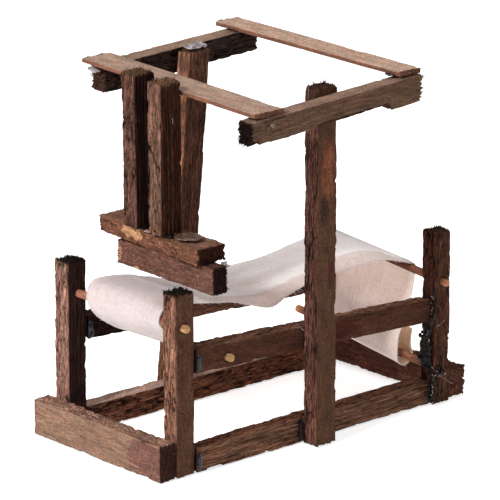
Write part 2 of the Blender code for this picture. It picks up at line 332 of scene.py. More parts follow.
def relief(b, c, v, mixed, out_b, out_c, seed):
    """How deep the surface lies under its skin, and how much painted shade its recesses get; raised grit
    gets a painted highlight.
    """
    wb = b + sway(v / 13.0, 0.5, 0.5, seed + 1, 2.4)
    wc = c + sway(v / 13.0, 7.5, 0.5, seed + 2, 2.4)
    warp = v + 3.0 * noise(wb / 0.8, wc / 0.8, v / 6.0, seed + 12)

    def field(size, length, number, long=warp):
        return noise(wb / size, wc / size, long / length, seed + number)

    def ridge(size, length, number):
        return 1.0 - np.abs(2.0 * field(size, length, number) - 1.0)

    groove = ridge(0.42, 4.0, 3) ** 2
    swell = field(1.9, 8.0, 4, v)
    flakes = np.floor(field(0.9, 3.2, 5) * 5.0) / 4.0
    patchy = step_up(field(2.2, 6.0, 9, v), 0.3, 0.62)
    pit = step_up(field(0.5, 2.6, 6), 0.72, 0.86) * patchy
    slit = np.maximum(step_up(ridge(1.1, 7.0, 7), 0.89, 0.98) * patchy,
                      0.6 * step_up(ridge(0.55, 5.5, 13), 0.82, 0.97))
    grit = noise(b / 0.4, c / 0.4, v / 0.45, seed + 8)
    across = np.where(np.abs(out_b) > np.abs(out_c), wc, wb)
    uneven = 1.6 * noise(across / 1.4, 2.5, v / 40.0, seed + 11)
    wave = 0.5 - 0.5 * np.cos(2 * math.pi * (across + uneven) / mixed["rib_pitch"])
    rib = wave ** 1.5 * (0.35 + 0.65 * noise(across / 1.3, 3.5, v / 14.0, seed + 10))
    depth = mixed["rough"] * (0.4 * groove + 0.45 * flakes + 0.5 * swell)
    depth += mixed["pits"] * (0.8 * pit + 0.8 * slit) + mixed["ribs"] * rib + mixed["grit"] * grit
    # Painted shade: grooves, flakes, pits, slits, ribs and grit are darkened as the shade that falls in
    # recesses.
    cavity_shade = (0.5 * groove * mixed["rough"] + 0.3 * flakes * mixed["rough"]
              + mixed["pits"] * (1.6 * pit + 1.6 * slit) + 1.6 * mixed["ribs"] * rib
              + 1.3 * mixed["grit"] * grit ** 2)
    # Painted highlight on the highest grit.
    cavity_shade -= 2.2 * mixed["grit"] * step_up(grit, 0.6, 0.85)
    depth -= 0.35 * (mixed["rough"] + mixed["ribs"] + mixed["grit"])
    return depth, np.clip(cavity_shade, -0.6, 1.0)


def crack_share(places, head, tail, width, seed):
    """How much each point belongs to a wandering crack between two others."""
    length = np.linalg.norm(tail - head)
    way = (tail - head) / length
    gap = [place - spot for place, spot in zip(places, head)]
    reach = np.clip(sum(g * w for g, w in zip(gap, way)), 0.0, length)
    wander = sway(reach / 1.2, 0.5, 0.5, seed + 61, 0.8)
    off = np.sqrt(sum((g - reach * w) ** 2 for g, w in zip(gap, way)))
    return step_up(1.0 - np.abs(off - np.abs(wander)) / width, 0.0, 0.8)


def patch_share(places, own, spot, radii, broken_out, seed):
    """How much each point belongs to a ragged patch. One that is broken out of the wood has a
    sharp rim, a stain has a soft one that is drawn out along the grain. own: the same places
    from the stick's middle line."""
    gap = np.sqrt(sum(((place - middle) / radius) ** 2
                      for place, middle, radius in zip(places, spot, radii)))
    fine, long, reach, rim = (1.1, 1.3, 1.2, 0.14) if broken_out else (0.6, 5.0, 1.25, 0.45)
    ragged = noise(own[0] / fine, own[1] / fine, own[2] / long, seed + 20) * 0.6
    return step_up(reach - gap - ragged, 0.0, rim)


def placed(axis, b, c, v):
    """Points from their places on the two cross axes and along the stick."""
    out = np.empty((*b.shape, 3))
    for index, places in zip(AXES[axis], (v, b, c)):
        out[..., index] = places
    return out


def torn_back(b, c, which, size, seed):
    """How far an end is torn back at each place of its section. which: 0 at the start, 1 at the
    stop."""

    def field(pitch_b, pitch_c, number):
        return noise(b / pitch_b, c / pitch_c, which + 0.5, seed + number)

    tooth = step_up(field(0.7, 0.7, 32), 0.4, 0.62)
    if size > LONG_TEETH:
        phase = c / 1.3 + 1.2 * field(2.0, 1.5, 34)
        tooth = 0.3 * tooth + 0.7 * np.abs(2.0 * (phase % 1.0) - 1.0)
    return size * (0.3 * field(0.45, 0.45, 30) + 0.75 * tooth + 0.4 * field(2.2, 2.2, 31))


def end_cap(axis, b, c, head, size, colour, seed):
    """Rings that close one end of a stick inside its last ring (b, c), and the point in their
    middle. Gives their points, grain, tint and marks. head: a row of stick's list of ends."""
    which, _, edge, inward = head
    colour = srgb(*colour)[None, :]
    middle_b, middle_c = b.mean(), c.mean()
    rows = []
    for ring in range(1, CAP_RINGS + 1):
        scale = 1.0 - ring / (CAP_RINGS + 0.6)
        bb = middle_b + (b - middle_b) * scale
        cc = middle_c + (c - middle_c) * scale
        v = edge + inward * torn_back(bb, cc, which, size, seed)
        speck = noise(bb / 0.5, cc / 0.5, 4.5, seed + 33)
        rows.append((placed(axis, bb, cc, v), np.stack((bb, cc, v + seed % GRAIN_SHIFTS), axis=-1),
                     colour * (0.2 + 1.6 * speck)[:, None],
                     np.stack((0.5 * speck, 0 * speck, 0 * speck), axis=-1)))
    bb, cc = np.array([middle_b]), np.array([middle_c])
    v = edge + inward * torn_back(bb, cc, which, size, seed)
    rows.append((placed(axis, bb, cc, v), np.stack((bb, cc, v), axis=-1), colour,
                 np.array([[0.3, 0.0, 0.0]])))
    return [np.concatenate(layer) for layer in zip(*rows)]


def end_fibres(fibres, axis, ring, head, size, colour, count, rng):
    """Loose fibres that stand out of one torn end."""
    edge, inward = head[2:]
    along = AXES[axis][0]
    direction = np.eye(3)[along]
    middle = ring.mean(axis=0)
    middle[along] = edge
    for _ in range(count):
        spot = ring[rng.randrange(len(ring))]
        base = middle + (spot - middle) * min(0.93, math.sqrt(rng.random()))
        base[along] = edge + inward * (0.9 * size + 0.3)
        way = scatter(rng, -0.5, 0.5) - direction * inward
        if base[2] < NEAR_FLOOR:
            way[2] = abs(way[2]) * 0.15
        tint = srgb(*colour) * rng.uniform(0.4, 2.0)
        long = rng.uniform(0.4, 0.95) if rng.random() < 0.9 else rng.uniform(0.9, 1.8)
        hair(fibres, base, way, long * (0.9 + 0.4 * size), rng.uniform(0.09, 0.24), tint, rng, bend=0.45)


def stick(node, axis, faces, torn, ends=(DARK_END, DARK_END), patches=(), bores=(), hairs=18,
          worn=0.35, slot="rough_wood", notches=(), splits=(), chips=0.05, cracks=(), flare=None,
          lift=0.0):
    """One timber, built over its CAD stick.

    faces: finish of the low and high side on each cross axis. ends: colours of the two ends.
    torn: how ragged each end is. patches: (middle, radii, colour, depth) in the layout.
    bores: the rods that pass through it. hairs: how many loose fibres lie along it.
    worn: how round its edges are. notches: (place, size, pull on the cross axes) in the layout.
    splits: (corner, start and stop, size) of strips broken out of a long edge. chips: how many
    more of them there are to a millimetre, in places of their own. cracks: (start, stop, width,
    depth). flare: from where, and how much lower the low side of the second cross axis lies past
    it. lift: how much higher its high side lies than on the CAD stick.
    """
    seed = sum(ord(letter) * (index + 3) for index, letter in enumerate(node))
    rng = random.Random(node)
    along, first, second = AXES[axis]
    start, stop, lines = straight_sides(node, axis)
    start -= 0.6 * torn[0] if axis != "z" else 0.0
    stop += 0.6 * torn[1]

    v = np.linspace(start, stop, max(8, round((stop - start) / LONG_PITCH)))
    low_b, high_b, low_c, high_c = [np.polyval(line, v) for line in lines]
    high_c = high_c + lift
    if flare:
        bend = flare[0] - LAYOUT[along]
        low_c = low_c - flare[1] * step_up(v, bend, bend + 0.7)
    sides = ((low_b, high_b), (low_c, high_c))
    half_b, half_c = [((high - low) / 2 + SKIN)[:, None] for low, high in sides]
    mid_b, mid_c = [((high + low) / 2)[:, None] for low, high in sides]
    place_b, place_c = ring_places(2 * half_b.mean(), 2 * half_c.mean())
    b = place_b[None, :] * half_b
    c = place_c[None, :] * half_c
    vv = np.repeat(v[:, None], b.shape[1], axis=1)
    corner = np.sign(b) * 3 + np.sign(c)
    thin = min(half_b.mean(), half_c.mean())
    wear = 0.5 + noise(vv / 6.0, corner, 0.5, seed)
    wear = wear + 2.5 * step_up(noise(vv / 2.2, corner, 9.5, seed), 0.72, 0.9)
    b, c, out_b, out_c = rounded(b, c, half_b, half_c, np.minimum(worn * wear, thin * 0.8))
    own_splits = [(edge, span[0] - LAYOUT[along], span[1] - LAYOUT[along], size)
                  for edge, span, size in splits]
    for _ in range(round(chips * (stop - start))):
        begin = rng.uniform(start + 1.0, stop - 6.0)
        own_splits.append(((rng.choice((-1, 1)), rng.choice((-1, 1))), begin,
                           begin + rng.uniform(1.5, 8.0), rng.uniform(0.3, 0.75)))
    broken = np.zeros_like(b)
    wave = noise(vv / 1.5, 0.5, 0.5, seed + 50) * 0.6 + 0.7
    for edge, begin, finish, size in own_splits:
        b, c, share = chip(b, c, vv, half_b, half_c, edge, (begin, finish), size * wave)
        broken = np.maximum(broken, share)
    mixed = blend_faces(faces, out_b, out_c)
    depth, cavity_shade = relief(b, c, vv, mixed, out_b, out_c, seed)
    if thin < 1.0:
        depth = depth * 0.3
    tint = mixed["colour"] * (1.0 - 0.35 * broken[..., None])
    places = (b + mid_b, c + mid_c, vv)
    order = [first, second, along]
    for middle, radii, colour, sink in patches:
        share = patch_share(places, (b, c, vv), at(*middle)[order], np.array(radii)[order], sink > 0,
                            seed)
        tint = blend(tint, srgb(*colour), share[..., None])
        depth = depth * (1 - 0.6 * share) + sink * share
        cavity_shade = cavity_shade * (1 - 0.8 * share)
    # Cracks are cut in and get full painted shade.
    for head, tail, width, cut in cracks:
        share = crack_share(places, at(*head)[order], at(*tail)[order], width, seed)
        depth = depth + cut * share
        cavity_shade = np.maximum(cavity_shade, share)
    for name in bores:
        gap = axis_distance(placed(axis, *places), *RODS[name])
        depth = depth * (0.3 + 0.7 * step_up(gap, 1.7, 3.0))
    b = b + mid_b - out_b * depth
    c = c + mid_c - out_c * depth
    for spot, size, pull in notches:
        point = at(*spot)
        close = np.exp(-((vv - point[along]) / size) ** 2
                       - ((b - point[first]) / size) ** 2 - ((c - point[second]) / size) ** 2)
        b = b + close * pull[0]
        c = c + close * pull[1]

    rows = len(v)
    around = b.shape[1]
    heads = ((0, 0, start, 1), (1, rows - 1, stop, -1))   # number, row, place, way into the wood
    for which, _, edge, inward in heads:
        fade = np.exp(-np.abs(vv - edge) / (1.4 * torn[which] + 0.2))
        vv = vv + inward * torn_back(b, c, which, torn[which], seed) * fade
    near_start = (v - start < stop - v)[:, None]
    end_tint = np.where(near_start[..., None], srgb(*ends[0]), srgb(*ends[1]))
    dusk = np.exp(-np.minimum(v - start, stop - v)[:, None] / 0.35)[..., None] * 0.8
    tint = blend(tint, end_tint, dusk)
    layers = [[layer.reshape(-1, 3)] for layer in
              (placed(axis, b, c, vv), np.stack((b - mid_b, c - mid_c, vv + seed % GRAIN_SHIFTS), axis=-1),
               tint, np.stack((cavity_shade, mixed["sawn"], np.zeros_like(cavity_shade)), axis=-1))]
    grid = layers[0][0]
    quads = skin(rows, around)
    count = rows * around
    for head, size, colour in zip(heads, torn, ends):
        row = head[1]
        for layer, extra in zip(layers, end_cap(axis, b[row], c[row], head, size, colour, seed)):
            layer.append(extra)
        ring = row * around
        for _ in range(CAP_RINGS):
            quads += bridge(ring, count, around)
            ring = count
            count += around
        quads += fan(ring, count, around)
        count += 1
    points, grain, tint, marks = [np.concatenate(layer) for layer in layers]
    points[:, 2] = np.maximum(points[:, 2], 0.0)
    parts = Parts()
    parts.add(points, quads, tint, grain, marks)
    obj = parts.to_object(f"{node}_wood", WOODS[slot])
    bore(obj, bores)

    fibres = Parts()
    for head, size, colour in zip(heads, torn, ends):
        ring = grid[head[1] * around:(head[1] + 1) * around]
        count = round(size * FIBRE_DENSITY * min(half_b.mean(), 2.5))
        end_fibres(fibres, axis, ring, head, size, colour, count, rng)
    for _ in range(hairs):
        row = rng.randrange(4, rows - 4)
        place = rng.randrange(around)
        spot = grid[row * around + place]
        if spot[2] < 1.5:
            continue
        out = placed(axis, out_b[row, place], out_c[row, place], 0.0)
        way = np.eye(3)[along] * rng.choice((-1, 1)) + out * rng.uniform(0.15, 0.6)
        hair(fibres, spot - out * 0.15, way, rng.uniform(0.7, 2.4), rng.uniform(0.05, 0.15),
             tint[row * around + place] * rng.uniform(0.4, 1.3), rng, bend=0.2)
    if fibres.count:
        loose = fibres.to_object(f"{node}_fibres", WOODS[slot])
        with bpy.context.temp_override(active_object=obj, selected_editable_objects=[obj, loose]):
            bpy.ops.object.join()
    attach(obj, "root")
    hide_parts(node)


def volume_of(mesh):
    bm = bmesh.new()
    bm.from_mesh(mesh)
    volume = bm.calc_volume()
    bm.free()
    return volume


def bore(obj, rods):
    """Cut the holes for the rods. A cut that doesn't come out whole is made again, more slowly."""
    for name in rods:
        before = volume_of(obj.data)
        for twist, slow in BORE_TRIES:
            cutter = bore_cutter(name, twist)
            cut = obj.modifiers.new("bore", "BOOLEAN")
            cut.operation = "DIFFERENCE"
            cut.solver = "EXACT"
            cut.use_self = slow
            cut.object = cutter
            mesh = with_modifiers(obj)
            bpy.data.objects.remove(cutter)
            if KEPT_SHARE[0] < volume_of(mesh) / before < KEPT_SHARE[1]:
                obj.data = mesh
                break


# --- rods ---------------------------------------------------------------------------------------
ROD_RADIUS = 1.19
ROD_SIDES = 36
BORE_RADIUS = 1.33
BORE_SIDES = 28
BORE_MARGIN = 4.0     # a cutter is this much longer than its rod at each end
ROD_PITCH = 0.4
ROD_CAPS = 5          # rings on the end of a rod
BORE_STEPS = 80
BORE_TRIES = ((0.0, False), (0.13, False), (0.0, True), (0.19, True))   # (twist, slow)
KEPT_SHARE = (0.93, 0.999)         # of a stick's volume is left by a cut that came out whole
# Near-black painted shade for the walls of the rods' holes: the cut faces take the cutter's tint and its
# strong shade mark.
BORE_SHADE = (0.004, 0.003, 0.002)


def rod_line(node):
    """The two ends of a CAD rod's axis, near end first."""
    points = node_points(node)
    middle = (points.min(0) + points.max(0)) / 2
    _, _, turns = np.linalg.svd(points - points.mean(0), full_matrices=False)
    direction = turns[0] * np.sign(turns[0][1])
    reach = (points - middle) @ direction
    return middle + direction * reach.min(), middle + direction * reach.max()


RODS = {name: rod_line(name) for name in ("breast_rod", "cloth_rod", "back_rod", "warp_rod")}


def tube(low, high, radius_of, sides, steps, caps, twist=0.0):
    """Rings along a line, each with its own radii, closed with domed rings at both ends."""
    direction = unit(high - low)
    across, other = square_to(direction, (0.0, 0.0, 1.0))
    angles = 2 * math.pi * np.arange(sides) / sides + twist
    cos, sin = np.cos(angles), np.sin(angles)
    length = np.linalg.norm(high - low)
    inner = [1.0 - (k + 1) / (caps + 0.7) for k in range(caps)]
    rings = ([(0.0, k) for k in reversed(inner)]
             + [(step / steps * length, 1.0) for step in range(steps + 1)]
             + [(length, k) for k in inner])
    points = []
    grains = []
    for place, scale in rings:
        radii = radius_of(place, cos, sin) * scale
        sink = np.zeros(sides)
        if scale < 1.0:
            inward = 1 if place == 0.0 else -1
            sink = inward * (noise(cos * scale * 2.5, sin * scale * 2.5, place, 77) - 0.5) * 0.35
        points.append(low[None, :] + direction[None, :] * (place + sink)[:, None]
                      + across[None, :] * (radii * cos)[:, None]
                      + other[None, :] * (radii * sin)[:, None])
        grains.append(np.stack((radii * cos, radii * sin, np.full(sides, place)), axis=-1))
    faces = skin(len(rings), sides)
    faces += [tuple(range(sides)), tuple((len(rings) - 1) * sides + side for side in range(sides))]
    return np.concatenate(points), faces, np.concatenate(grains), rings


def rod(name, colour, tips):
    """A turned stick with cut ends. tips: colours of the near and far end."""
    low, high = RODS[name]
    seed = sum(map(ord, name))
    length = np.linalg.norm(high - low)

    def radius_of(place, cos, sin):
        wobble = noise(cos * 1.2, sin * 1.2, place / 9.0, seed)
        grain = noise(cos * 4.5, sin * 4.5, place / 6.0, seed + 1)
        taper = 1.0 - 0.14 * math.exp(-min(place, length - place) / 0.25)
        return ROD_RADIUS * taper * (1.0 - 0.035 * wobble - 0.03 * grain)

    steps = round(length / ROD_PITCH)
    points, faces, grain, rings = tube(low, high, radius_of, ROD_SIDES, steps, ROD_CAPS)
    tint = []
    for place, scale in rings:
        tip = srgb(*tips[0 if place < length / 2 else 1])
        edge = min(place, length - place)
        share = math.exp(-((edge / 1.6) ** 4)) if scale == 1.0 else 1.0
        tint += [blend(srgb(*colour), tip, share)] * ROD_SIDES
    parts = Parts()
    parts.add(points, faces, np.array(tint), grain + np.array((0.0, 0.0, seed % 50)))
    obj = parts.to_object(f"{name}_stick", rod_wood)
    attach(obj, name)
    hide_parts(name)


def bore_cutter(name, twist):
    """A slightly uneven bar that is wider than a rod, used to cut its holes."""
    low, high = RODS[name]
    reach = unit(high - low) * BORE_MARGIN
    seed = sum(map(ord, name)) + 5

    def radius_of(place, cos, sin):
        return BORE_RADIUS + 0.12 * noise(cos * 2, sin * 2, place / 2.0, seed)

    points, faces, grain, _ = tube(low - reach, high + reach, radius_of, BORE_SIDES, BORE_STEPS,
                                   1, twist)
    parts = Parts()
    # The cutter's near-black tint and shade mark paint shade inside the holes it cuts.
    parts.add(points, faces, BORE_SHADE, grain, (0.9, 0.0, 0.0))
    cutter = parts.to_object(f"cut_{name}", None)
    cutter.hide_render = True
    return cutter


# --- materials ----------------------------------------------------------------------------------
class Nodes:
    """A material and short ways to wire its nodes."""

    def __init__(self, name):
        self.material = bpy.data.materials.new(name)
        self.material.use_nodes = True
        self.tree = self.material.node_tree
        self.shader = self.tree.nodes["Principled BSDF"]

    def feed(self, socket, value):
        """Link another node's output to a socket, or set the socket to a fixed value."""
        if hasattr(value, "links"):
            self.tree.links.new(value, socket)
        else:
            socket.default_value = value

    def node(self, kind, inputs, **settings):
        made = self.tree.nodes.new(kind)
        for key, value in settings.items():
            setattr(made, key, value)
        for key, value in inputs.items():
            self.feed(made.inputs[key], value)
        return made

    def shade(self, inputs):
        for key, value in inputs.items():
            self.feed(self.shader.inputs[key], value)

    def attribute(self, name):
        return self.node("ShaderNodeAttribute", {}, attribute_name=name).outputs["Vector"]

    def split(self, vector):
        return self.node("ShaderNodeSeparateXYZ", {0: vector}).outputs

    def math(self, kind, a, b=0.0):
        return self.node("ShaderNodeMath", {0: a, 1: b}, operation=kind).outputs[0]

    def product(self, first, *others, kind="MULTIPLY"):
        for value in others:
            first = self.math(kind, first, value)
        return first

    def total(self, *values):
        return self.product(*values, kind="ADD")

    def noise(self, vector, scale, shift, detail, rough, distortion=0.0):
        moved = self.node("ShaderNodeMapping", {"Vector": vector, "Scale": scale, "Location": shift})
        return self.node("ShaderNodeTexNoise",
                         {"Vector": moved.outputs[0], "Scale": 1.0, "Detail": detail,
                          "Roughness": rough, "Distortion": distortion}).outputs[0]

    def ramp(self, value, low, high, out_low, out_high):
        """From out_low to out_high as value goes from low to high, and no further."""
        return self.node("ShaderNodeMapRange",
                         {0: value, 1: low, 2: high, 3: out_low, 4: out_high}).outputs[0]

    def vary(self, field, low, high):
        """From low to high over the usual range of a noise field."""
        return self.ramp(field, 0.3, 0.7, low, high)

    def mix(self, factor, a, b):
        return self.node("ShaderNodeMix", {0: factor, 2: a, 3: b}, data_type="FLOAT").outputs[0]

    def mix_colour(self, factor, a, b):
        return self.node("ShaderNodeMix", {0: factor, 6: a, 7: b}, data_type="RGBA").outputs[2]

    def times(self, colour, value):
        return self.node("ShaderNodeVectorMath", {0: colour, 1: value},
                         operation="MULTIPLY").outputs[0]

    def bump(self, height, strength, distance):
        return self.node("ShaderNodeBump", {"Height": height, "Strength": strength,
                                            "Distance": distance}).outputs[0]


def wood_material(name, contrast, roughness=0.82, bump=0.9):
    """Stained wood. Its grain runs along the third number of the grain attribute."""
    n = Nodes(name)
    grain = n.attribute("grain")
    tint = n.attribute("tint")
    hollow_shade, flatness, _ = n.split(n.attribute("marks"))
    fibre = n.noise(grain, (3.2, 3.2, 0.22), (0, 0, 0), 6.0, 0.7, 0.4)
    fine = n.noise(grain, (10.0, 10.0, 1.0), (9, 3, 1), 4.0, 0.75)
    cloud = n.noise(grain, (0.35, 0.35, 0.12), (4, 8, 2), 3.0, 0.6)
    grit = n.noise(grain, (6.5, 6.5, 6.5), (1, 5, 7), 3.0, 0.75)
    saw = n.noise(grain, (0.5, 0.5, 4.5), (2, 2, 5), 4.0, 0.65)
    wavy = n.noise(grain, (1.5, 1.5, 0.13), (3, 7, 2), 5.0, 0.6, 1.2)
    speck = n.noise(grain, (2.6, 2.6, 2.6), (8, 1, 4), 5.0, 0.75)
    warm = n.noise(grain, (0.9, 0.9, 0.25), (6, 1, 3), 3.0, 0.6)
    # crease marks thin crack lines, cut into the bump and also darkened as painted shade.
    crease = n.ramp(n.math("ABSOLUTE", n.math("SUBTRACT", wavy, 0.5)), 0.0, 0.035, 0.0, 1.0)
    rough_look = n.product(n.ramp(fibre, 0.32, 0.68, 1.0 - 0.85 * contrast, 1.0 + 1.1 * contrast),
                           n.product(n.vary(fine, 1.0 - 0.5 * contrast, 1.0 + 0.5 * contrast),
                                     n.ramp(crease, 0.0, 1.0, 1.0 - 0.85 * contrast, 1.0)))
    sawn_look = n.product(n.vary(saw, 0.84, 1.16), n.vary(fibre, 0.75, 1.25),
                          n.vary(fine, 0.8, 1.2), n.ramp(speck, 0.32, 0.68, 0.42, 1.72),
                          n.ramp(crease, 0.0, 1.0, 1.0 - 0.3 * contrast, 1.03))
    look = n.product(n.mix(flatness, rough_look, sawn_look), n.vary(grit, 0.58, 1.42),
                     n.vary(cloud, 0.75, 1.25))
    # Painted shade in recesses and painted highlight on raised grit, from the first marks number.
    colour = n.times(tint, n.product(look, n.ramp(hollow_shade, -0.6, 1.0, 1.55, 0.1)))
    warmed = n.times(colour, (1.12, 0.95, 0.85))
    cooled = n.times(colour, (0.92, 1.0, 1.04))
    height = n.total(n.product(fine, 0.7), n.product(fibre, 0.8), n.product(grit, 0.35),
                     n.product(crease, 0.35), n.product(saw, n.product(flatness, 0.4)))
    n.shade({"Base Color": n.mix_colour(n.ramp(warm, 0.35, 0.65, 0.0, 1.0), cooled,
                                        n.mix_colour(0.5, colour, warmed)),
             "Roughness": n.vary(fine, roughness - 0.1, min(1.0, roughness + 0.12)),
             "Specular IOR Level": 0.08,
             "Normal": n.bump(height, bump, 0.00038)})
    return n.material


WEAVE = 0.56          # threads lie this far apart in the gauze


def gauze_material():
    """Plain weave of slightly uneven threads. The grain attribute holds places on the flat cloth."""
    n = Nodes("gauze")
    flat = n.attribute("grain")
    tint = n.attribute("tint")
    places = n.split(flat)
    drift = n.noise(flat, (0.35, 0.35, 0.35), (0, 0, 0), 2.0, 0.5)
    wave = n.noise(flat, (0.9, 0.9, 0.9), (2, 6, 4), 2.0, 0.5)
    slub_u = n.noise(flat, (1 / WEAVE, 0.12, 1.0), (0, 0, 0), 3.0, 0.6)
    slub_v = n.noise(flat, (0.12, 1 / WEAVE, 1.0), (5, 2, 0), 3.0, 0.6)
    cloud = n.noise(flat, (0.13, 0.07, 1.0), (1, 8, 3), 4.0, 0.6)
    run = n.noise(flat, (0.6, 0.05, 1.0), (3, 7, 1), 4.0, 0.65)
    mottle = n.noise(flat, (0.9, 0.9, 1.0), (7, 2, 9), 5.0, 0.8)
    fuzz = n.noise(flat, (6.0, 6.0, 6.0), (0, 0, 0), 3.0, 0.7)
    shift = n.total(n.product(n.math("SUBTRACT", drift, 0.5), 2.4),
                    n.product(n.math("SUBTRACT", wave, 0.5), 0.5))
    u, v = [n.product(n.total(places[k], shift), math.pi / WEAVE) for k in (0, 1)]
    lie_u, lie_v = [n.product(n.math("ABSOLUTE", n.math("SINE", turn)), n.vary(slub, 0.6, 1.25))
                    for turn, slub in ((u, slub_u), (v, slub_v))]
    over = n.product(n.math("COSINE", u), n.math("COSINE", v))
    height = n.total(n.math("MAXIMUM", lie_u, lie_v), n.product(over, 0.25))
    gaps = n.ramp(height, 0.25, 0.9, 0.0, 1.0)
    streak = n.product(n.vary(slub_u, 0.94, 1.04), n.vary(slub_v, 0.965, 1.025),
                       n.ramp(run, 0.35, 0.65, 0.965, 1.03), n.vary(cloud, 0.9, 1.05),
                       n.vary(mottle, 0.86, 1.1))
    pink = n.times(tint, (1.0, 0.955, 0.93))
    base = n.mix_colour(n.ramp(cloud, 0.35, 0.65, 0.0, 1.0), tint, pink)
    n.shade({"Base Color": n.times(base, n.product(n.ramp(gaps, 0.0, 1.0, 0.88, 1.03), streak)),
             "Roughness": 0.92,
             "Specular IOR Level": 0.15,
             "Sheen Weight": 0.15,
             "Sheen Roughness": 0.5,
             "Subsurface Weight": 0.8,
             "Subsurface Radius": (1.0, 0.82, 0.74),
             "Subsurface Scale": 0.0018,
             "Normal": n.bump(n.total(height, n.product(fuzz, 0.3)), 0.3, 0.0001)})
    return n.material


def glue_material(name, colour, clear, roughness, blotch, shine=0.5):
    """Set hot glue: glossy and a little cloudy."""
    n = Nodes(name)
    place = n.node("ShaderNodeTexCoord", {}).outputs["Object"]
    cloud = n.noise(place, (700.0, 700.0, 700.0), (0, 0, 0), 3.0, 0.6)
    fine = n.noise(place, (2600.0, 2600.0, 2600.0), (0, 0, 0), 3.0, 0.6)
    n.shade({"Base Color": n.mix_colour(n.ramp(cloud, 0.42, 0.68, 0.0, 1.0), (*srgb(*colour), 1.0),
                                        (*srgb(*blotch), 1.0)),
             "Roughness": n.vary(fine, roughness, roughness + 0.12),
             "Transmission Weight": clear,
             "IOR": 1.48,
             "Specular IOR Level": shine,
             "Normal": n.bump(cloud, 0.15, 0.0002)})
    return n.material


# --- cloth --------------------------------------------------------------------------------------
CLOTH_PITCH = 0.6
CLOTH_THICK = 0.3
WRAP_RADIUS = 1.42
CLOTH_NEAR_Y = (8.2, 12.4)      # where each long edge lies, at the weaver end and at the warp end
CLOTH_FAR_Y = (41.0, 43.6)
# free stretches of the strip as layout (x, z) on its near edge and on its far edge
RISE = (((19.2, 34.0), (19.6, 31.2)), ((12.6, 37.4), (12.9, 35.4)), ((9.2, 40.2), (9.7, 38.6)))
TOP = (((7.8, 44.4), (8.5, 44.9)), ((9.4, 46.2), (10.3, 47.0)), ((13.4, 46.6), (14.4, 47.4)),
       ((20.7, 45.6), (24.5, 45.6)), ((33.4, 43.1), (34.0, 42.9)),
       ((41.7, 40.8), (43.5, 41.2)), ((50.2, 38.3), (52.0, 40.4)), ((56.5, 40.5), (61.5, 39.9)),
       ((64.5, 42.4), (71.0, 39.8)), ((74.5, 43.3), (80.0, 40.5)), ((86.0, 43.6), (89.0, 41.8)),
       ((97.5, 42.6), (98.5, 43.1)))
DROP = (((107.0, 30.8), (107.4, 33.0)), ((104.2, 23.0), (104.6, 26.0)), ((101.9, 16.5), (102.2, 19.6)))
TAIL = (((107.3, 14.0), (107.4, 18.0)), ((107.7, 16.6), (108.2, 22.0)), ((108.4, 19.0), (108.8, 25.0)))
CURVE_STEPS = 12
# the fold beside the near edge: how high it stands at each x
CURL_X = (18.0, 30.0, 40.0, 46.0, 51.0, 57.0, 66.0, 76.0, 86.0, 95.0, 102.0)
CURL_RISE = (0.0, 0.4, 1.4, 2.6, 3.4, 2.2, 2.0, 3.6, 3.0, 1.6, 0.3)
CLOTH_TINT = srgb(234, 220, 218)
# The drop's warmer, pinker tint is painted light shining through the gauze from behind.
DROP_GLOW_TINT = srgb(240, 210, 202)
ROLL_TINT = srgb(198, 183, 182)
TAIL_TINT = srgb(212, 180, 158)


def wrap(name, y, start, stop, radius=WRAP_RADIUS):
    """Points round a rod between two angles, as (x, z) in the layout."""
    low, high = RODS[name]
    part = (y - LAYOUT[1] - low[1]) / (high[1] - low[1])
    x, _, z = low + (high - low) * part + LAYOUT
    angles = np.radians(np.linspace(start, stop, max(3, round(abs(stop - start) / 15.0) + 1)))
    return [(x + radius * math.cos(a), z + radius * math.sin(a)) for a in angles]


def curve_through(points):
    """A smooth curve through the points, many steps to each stretch."""
    points = np.array(points, float)
    padded = np.vstack((2 * points[0] - points[1], points, 2 * points[-1] - points[-2]))
    t = np.arange(CURVE_STEPS)[:, None] / CURVE_STEPS
    rows = []
    for p, q, r, s in zip(padded, padded[1:], padded[2:], padded[3:]):
        rows.append(0.5 * (2 * q + (r - p) * t + (2 * p - 5 * q + 4 * r - s) * t ** 2
                           + (3 * q - p - 3 * r + s) * t ** 3))
    rows.append(points[-1][None, :])
    return np.vstack(rows)


def strip_edge(side):
    """One long edge of the strip, from the cloth rod to its loose end."""
    left, right = (CLOTH_NEAR_Y, CLOTH_FAR_Y)[side]
    route = wrap("cloth_rod", left, 20.0, -150.0)
    route += [pair[side] for pair in RISE]
    route += wrap("breast_rod", left, 205.0, 170.0)
    route += [pair[side] for pair in TOP]
    route += wrap("back_rod", right, 105.0, 5.0)
    route += [pair[side] for pair in DROP]
    route += wrap("warp_rod", right, 172.0, 360.0, (3.2, WRAP_RADIUS)[side])
    route += [pair[side] for pair in TAIL]
    return curve_through(route)


def is_top(x):
    """1 for the rows between the breast rod and the back rod, where the near edge curls down."""
    middle = x.mean(axis=1)
    first = int(np.argmin(middle[: len(middle) // 2]))
    place = np.arange(len(middle))
    return np.where((place > first) & (place < int(np.argmax(middle))), 1.0, 0.0)[:, None]


